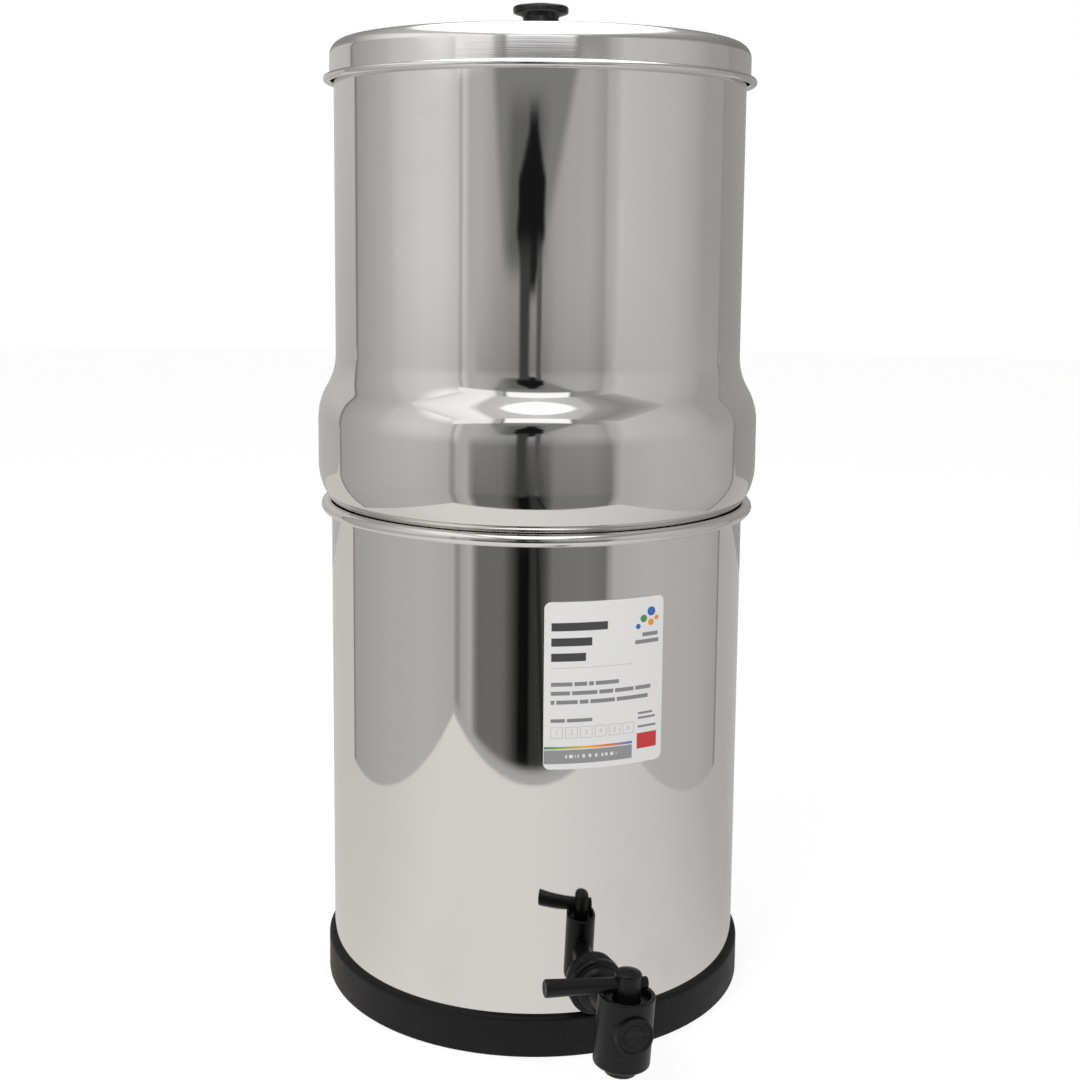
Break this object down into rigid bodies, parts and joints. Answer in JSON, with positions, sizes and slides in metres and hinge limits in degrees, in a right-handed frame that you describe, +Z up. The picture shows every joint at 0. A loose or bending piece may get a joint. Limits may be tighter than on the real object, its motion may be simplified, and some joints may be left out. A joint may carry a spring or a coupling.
{
  "type": "gravity water filter",
  "caption": "Countertop gravity water filter: two stacked polished steel chambers on a black base ring, with a lid and knob, candles inside, and a lever tap near the base.",
  "frame": {"origin": "on the axis of the two chambers, in the plane of the surface that the base ring stands on", "axes": "+Z up along the chambers' axis, -Y towards the tap, +X to the right for someone who faces the tap"},
  "size_m": [0.2154, 0.265, 0.4819],
  "materials": {
    "polished_steel": "mirror polished stainless steel",
    "plain_steel": "plain zinc plated steel",
    "black_rubber": "matt moulded rubber",
    "black_plastic": "satin moulded plastic",
    "black_knob": "gloss moulded plastic",
    "white_plastic": "satin moulded plastic",
    "ceramic": "porous unglazed ceramic",
    "carbon": "pressed carbon block",
    "label": "printed vinyl label"
  },
  "bodies": {
    "base": {"base_ring": "black_rubber", "lower_chamber": "polished_steel", "front_label": "label", "tap_body": "black_plastic", "tap_outer_washer": "black_rubber", "tap_inner_washer": "black_rubber", "tap_nut": "black_plastic", "plug_retainer": "black_plastic"},
    "tap_handle": {"tap_plug": "black_plastic", "tap_lever": "black_plastic", "plug_seal": "black_rubber"},
    "upper_vessel": {"upper_chamber": "polished_steel", "candle_1_base": "white_plastic", "candle_1_shell": "ceramic", "candle_1_core": "carbon", "candle_1_washer": "black_rubber", "candle_1_wing_nut": "white_plastic", "candle_2_base": "white_plastic", "candle_2_shell": "ceramic", "candle_2_core": "carbon", "candle_2_washer": "black_rubber", "candle_2_wing_nut": "white_plastic", "blanking_1_plug": "white_plastic", "blanking_1_washer": "black_rubber", "blanking_1_nut": "white_plastic", "blanking_2_plug": "white_plastic", "blanking_2_washer": "black_rubber", "blanking_2_nut": "white_plastic"},
    "lid": {"lid": "polished_steel", "lid_knob": "black_knob", "knob_washer": "plain_steel", "knob_screw": "plain_steel"}
  },
  "joints": [
    {"name": "tap_quarter_turn", "type": "hinge", "parent": "base", "child": "tap_handle", "pos_m": [0, -0.1432, 0.033], "axis": [0.0698, 0, 0.9976], "range_deg": [0, 90]},
    {"name": "upper_lift", "type": "slide", "parent": "base", "child": "upper_vessel", "axis": [0, 0, 1], "range_m": [0, 0.08]},
    {"name": "lid_lift", "type": "slide", "parent": "upper_vessel", "child": "lid", "axis": [0, 0, 1], "range_m": [0, 0.06]}
  ]
}
